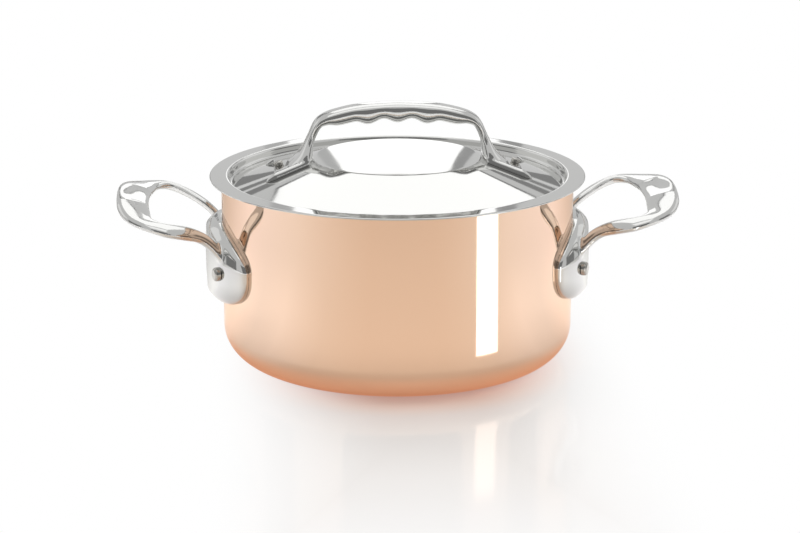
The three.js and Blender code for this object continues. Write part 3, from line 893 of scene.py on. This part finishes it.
def tableMaterial():
    # lacquered white board: a soft shadow, partly painted and partly real, and a faint reflection in
    # front of the pot, pure white further out, painted copper-tinted shade and a painted glow close to
    # the pot, and to the metal the painted light and shade of its rings. The colour sockets of a mix
    # node are its seventh and eighth inputs and its third output
    material, tree = newMaterial("white lacquered table")
    place = addNode(tree, "ShaderNodeTexCoord").outputs["Object"]
    axes = addNode(tree, "ShaderNodeSeparateXYZ", {"Vector": place})
    radius = addNode(tree, "ShaderNodeVectorMath", {0: place}, operation="LENGTH").outputs["Value"]
    heading = addNode(tree, "ShaderNodeVectorMath", {0: place}, operation="NORMALIZE")
    towards = addNode(tree, "ShaderNodeSeparateXYZ", {"Vector": heading.outputs["Vector"]})
    backwards = addNode(tree, "ShaderNodeMapRange", {"Value": towards.outputs["Y"], "From Min": -1.0})
    toCamera = addNode(tree, "ShaderNodeLightPath").outputs["Is Camera Ray"]
    # shade is a painted shade: the copper's tint laid on the table close to the pot, on the board the
    # camera sees and in what the metal mirrors
    shade = linearFromHex(tableLook["paintedShadeColour"])

    # mirrored carries the painted light and shade of the table, ring by ring, as the metal sees it
    mirrored = shade
    for ring in tableRings:
        tint = addNode(tree, "ShaderNodeValToRGB", {"Fac": backwards.outputs["Result"]})
        elements = tint.color_ramp.elements
        while len(elements) < len(ring["tints"]):
            elements.new(1.0)
        for element, (stop, hexColour) in zip(elements, ring["tints"]):
            element.position = (stop + 1) / 2
            element.color = linearFromHex(hexColour)
        begun = addNode(tree, "ShaderNodeMapRange",
                        {"Value": radius, "From Min": ring["reach"][0], "From Max": ring["reach"][1]},
                        interpolation_type="SMOOTHSTEP")
        further = addNode(tree, "ShaderNodeMix",
                          {0: begun.outputs["Result"], 6: mirrored, 7: tint.outputs["Color"]},
                          data_type="RGBA")
        mirrored = further.outputs[2]

    shadeEnd = addNode(tree, "ShaderNodeMapRange",
                       {"Value": radius, "From Min": tableLook["shadeReach"][0],
                        "From Max": tableLook["shadeReach"][1]}, interpolation_type="SMOOTHSTEP")
    seen = addNode(tree, "ShaderNodeMix",
                   {0: shadeEnd.outputs["Result"], 6: shade, 7: linearFromHex(tableLook["colour"])},
                   data_type="RGBA")
    colour = addNode(tree, "ShaderNodeMix", {0: toCamera, 6: mirrored, 7: seen.outputs[2]},
                     data_type="RGBA")
    shine = addNode(tree, "ShaderNodeMath", {0: toCamera, 1: tableLook["specular"]},
                    operation="MULTIPLY")
    board = addNode(tree, "ShaderNodeBsdfPrincipled",
                    {"Base Color": colour.outputs[2], "Roughness": tableLook["roughness"],
                     "Specular IOR Level": shine.outputs["Value"]})

    # The shadow the camera sees is partly painted: round its middle the white glow thins to the least
    # share and the greyer board shows, with the board's real shadow from the lamps in it
    outwards = []
    for axis, middle, reach in zip("XY", tableLook["shadowMiddle"], tableLook["whiteReach"]):
        offset = addNode(tree, "ShaderNodeMath", {0: axes.outputs[axis], 1: middle},
                         operation="SUBTRACT")
        distance = addNode(tree, "ShaderNodeMath", {0: offset.outputs["Value"]}, operation="ABSOLUTE")
        fade = addNode(tree, "ShaderNodeMapRange",
                       {"Value": distance.outputs["Value"], "From Min": reach[0], "From Max": reach[1]},
                       interpolation_type="SMOOTHSTEP")
        outwards.append(fade.outputs["Result"])
    outside = addNode(tree, "ShaderNodeMath", {0: outwards[0], 1: outwards[1]}, operation="MAXIMUM")
    whiteShare = addNode(tree, "ShaderNodeMapRange",
                         {"Value": outside.outputs["Value"], "To Min": tableLook["leastWhite"]})
    # A painted glow on the table close to the pot that the camera doesn't see: it stands in for light
    # bounced off the copper and brightens the rounded base's reflection
    paintedGlowShare = addNode(tree, "ShaderNodeMapRange",
                        {"Value": radius, "From Min": tableLook["paintedGlowReach"][0],
                         "From Max": tableLook["paintedGlowReach"][1], "To Min": tableLook["paintedGlowShare"],
                         "To Max": 0.0}, interpolation_type="SMOOTHSTEP")
    share = addNode(tree, "ShaderNodeMix",
                    {0: toCamera, 2: paintedGlowShare.outputs["Result"], 3: whiteShare.outputs["Result"]},
                    data_type="FLOAT")
    paintedGlowColour = addNode(tree, "ShaderNodeMix",
                         {0: toCamera, 6: linearFromHex(tableLook["paintedGlowColour"]), 7: white},
                         data_type="RGBA")
    glow = addNode(tree, "ShaderNodeEmission", {"Color": paintedGlowColour.outputs[2], "Strength": 1.0})
    surface = addNode(tree, "ShaderNodeMixShader",
                      {0: share.outputs[0], 1: board.outputs["BSDF"], 2: glow.outputs["Emission"]})
    addNode(tree, "ShaderNodeOutputMaterial", {"Surface": surface.outputs["Shader"]})
    return material


half = tableLook["size"] / 2
depth = -tableLook["drop"] * mm
tableMesh = bpy.data.meshes.new("table")
corners = [(x * half, y * half, depth) for x, y in squareCorners]
tableMesh.from_pydata(corners, [], [(0, 1, 2, 3)])
tableMesh.materials.append(tableMaterial())
table = bpy.data.objects.new("table", tableMesh)
bpy.context.scene.collection.objects.link(table)

# Cards and softboxes that only the polished metal sees: where their middle stands in metres,
# their width and height, and how bright they are
cards = {
    "strip box": {"place": (0.112, -0.136, 0.040), "width": 0.036, "height": 0.102, "strength": 2.2},
    "back panel": {"place": (0.667, 12.0, 2.8), "width": 1.45, "height": 4.3, "strength": 1.37},
    "left panel edge": {"place": (-0.14, 12.0, 2.8), "width": 0.16, "height": 4.3, "strength": 0.5},
    "right panel edge": {"place": (1.475, 12.0, 2.8), "width": 0.16, "height": 4.3, "strength": 0.36},
    "top box edge": {"place": (0.074, 1.031, 1.162), "width": 0.95, "height": 0.968, "strength": 0.25},
    "top box": {"place": (0.07, 1.0, 1.15), "width": 0.92, "height": 0.92, "strength": 1.37},
    "overhead box": {"place": (0.0, 0.05, 1.5), "width": 1.2, "height": 0.8, "strength": 1.2},
    "room behind camera": {"place": (0.0, -1.6, 0.8), "width": 2.6, "height": 1.7, "strength": 0.2},
    "left back box": {"place": (-1.16, 0.92, 0.72), "width": 0.95, "height": 0.7, "strength": 0.9},
    "right back box": {"place": (1.26, 0.88, 0.68), "width": 0.95, "height": 0.7, "strength": 0.9},
    "left back flag": {"place": (-0.33, 1.3, 0.43), "width": 0.16, "height": 0.5, "strength": 0.26},
    "right back flag": {"place": (0.48, 1.3, 0.43), "width": 0.16, "height": 0.5, "strength": 0.26},
    "left low slat": {"place": (-0.30, 1.2, 0.46), "width": 0.17, "height": 0.05, "strength": 0.75},
    "left high slat": {"place": (-0.30, 1.2, 0.56), "width": 0.17, "height": 0.03, "strength": 0.75},
    "right low slat": {"place": (0.44, 1.2, 0.46), "width": 0.17, "height": 0.05, "strength": 0.75},
    "right high slat": {"place": (0.44, 1.2, 0.56), "width": 0.17, "height": 0.03, "strength": 0.75},
    "left flag": {"place": (-1.5, -0.1, 0.45), "width": 0.7, "height": 0.9, "strength": 0.22},
    "right flag": {"place": (1.5, -0.1, 0.45), "width": 0.7, "height": 0.9, "strength": 0.22},
}


def addCard(name, place, width, height, strength):
    # a plain rectangle that faces the middle of the pot, and from behind is not there
    middle = Vector(place)
    facing = potMiddle - middle
    across = facing.cross(Vector((0, 0, 1))).normalized() * width / 2
    up = across.cross(facing).normalized() * height / 2
    corners = [middle + right * across + above * up for right, above in squareCorners]
    mesh = bpy.data.meshes.new(name)
    mesh.from_pydata(corners, [], [(3, 2, 1, 0)])
    material, tree = newMaterial(name + " cloth")
    glow = addNode(tree, "ShaderNodeEmission", {"Strength": strength})
    clear = addNode(tree, "ShaderNodeBsdfTransparent")
    fromBehind = addNode(tree, "ShaderNodeNewGeometry").outputs["Backfacing"]
    cloth = addNode(tree, "ShaderNodeMixShader",
                    {0: fromBehind, 1: glow.outputs["Emission"], 2: clear.outputs["BSDF"]})
    addNode(tree, "ShaderNodeOutputMaterial", {"Surface": cloth.outputs["Shader"]})
    mesh.materials.append(material)
    card = bpy.data.objects.new(name.replace(" ", "_"), mesh)
    bpy.context.scene.collection.objects.link(card)
    card.visible_camera = False
    card.visible_diffuse = False
    card.visible_transmission = False
    card.visible_volume_scatter = False
    card.visible_shadow = False


for name, card in cards.items():
    addCard(name, **card)

# Lamps that light the table and the shadow, and leave the reflections to the cards
lamps = {
    "top lamp": {"place": (0.0, 0.35, 1.3), "size": 1.2, "watts": 14},
    "left lamp": {"place": (-1.2, -0.1, 0.7), "size": 0.8, "watts": 6},
    "right lamp": {"place": (1.2, -0.1, 0.7), "size": 0.8, "watts": 6},
}
for name, lamp in lamps.items():
    light = bpy.data.lights.new(name, "AREA")
    light.size = lamp["size"]
    light.energy = lamp["watts"]
    holder = bpy.data.objects.new(name, light)
    holder.location = lamp["place"]
    facing = potMiddle - Vector(lamp["place"])
    holder.rotation_euler = facing.to_track_quat("-Z", "Y").to_euler()
    holder.visible_glossy = False
    holder.visible_camera = False
    bpy.context.scene.collection.objects.link(holder)

studioLook = {"camera": 1.0, "metal": 0.66, "fill": 0.55}


def studioWorld():
    # white to the camera, a little less to the metal, and an even fill for everything else
    world = bpy.data.worlds.new("studio")
    world.use_nodes = True
    tree = world.node_tree
    tree.nodes.clear()
    path = addNode(tree, "ShaderNodeLightPath")
    light = {}
    for use, strength in studioLook.items():
        background = addNode(tree, "ShaderNodeBackground", {"Color": white, "Strength": strength})
        light[use] = background.outputs["Background"]
    toMetal = addNode(tree, "ShaderNodeMixShader",
                      {0: path.outputs["Is Glossy Ray"], 1: light["fill"], 2: light["metal"]})
    toCamera = addNode(tree, "ShaderNodeMixShader",
                       {0: path.outputs["Is Camera Ray"], 1: toMetal.outputs["Shader"],
                        2: light["camera"]})
    addNode(tree, "ShaderNodeOutputWorld", {"Surface": toCamera.outputs["Shader"]})
    bpy.context.scene.world = world


studioWorld()
print("studio made:", len(cards), "cards,", len(lamps), "lamps")

photoView = {
    "distance": 1.3041,      # m from the middle of the pot
    "azimuth": -3.3,         # degrees round from the front
    "elevation": 15.82,
    "lens": 99.97,           # mm, on a sensor this wide
    "sensor": 36,
    "shiftX": 0.003275,
    "shiftY": 0.00232,
}


def photoCamera():
    # the view that was fitted to the rim, the base and the handles in the photograph
    azimuth = math.radians(photoView["azimuth"])
    elevation = math.radians(photoView["elevation"])
    back = Vector((math.sin(azimuth) * math.cos(elevation), -math.cos(azimuth) * math.cos(elevation),
                   math.sin(elevation)))
    data = bpy.data.cameras.new("photo camera")
    data.lens = photoView["lens"]
    data.sensor_width = photoView["sensor"]
    data.shift_x = photoView["shiftX"]
    data.shift_y = photoView["shiftY"]
    camera = bpy.data.objects.new("photo camera", data)
    camera.location = potMiddle + back * photoView["distance"]
    camera.rotation_euler = (-back).to_track_quat("-Z", "Y").to_euler()
    bpy.context.scene.collection.objects.link(camera)
    bpy.context.scene.camera = camera


photoCamera()
bpy.context.scene.view_settings.view_transform = "Standard"
